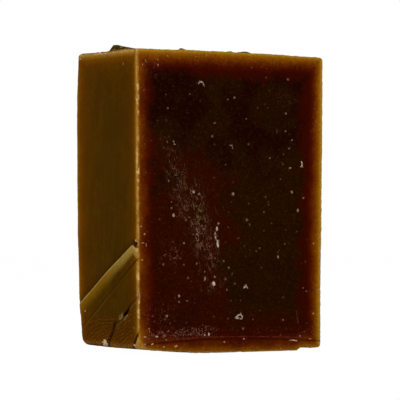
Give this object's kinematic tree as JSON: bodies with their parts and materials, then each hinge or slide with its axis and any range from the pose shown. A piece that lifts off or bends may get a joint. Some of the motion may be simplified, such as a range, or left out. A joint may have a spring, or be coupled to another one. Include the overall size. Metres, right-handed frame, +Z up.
{
  "type": "bar of soap",
  "caption": "Hand-cut block of dark, waxy soap standing on its short end, with liner fold marks on one side and torn slivers on top.",
  "frame": {"origin": "under the middle of the bar, on the flat foot that it stands on", "axes": "+Z up along the bar's length, the broad cut face towards -Y, the moulded side with the liner's fold marks towards -X"},
  "size_m": [0.059, 0.036, 0.0834],
  "materials": {
    "soap": "waxy, slightly translucent dark soap: near black in the middle of its cut face, mustard at its edges, olive brown on its moulded side"
  },
  "bodies": {
    "root": {"soap_bar": "soap"}
  },
  "joints": []
}
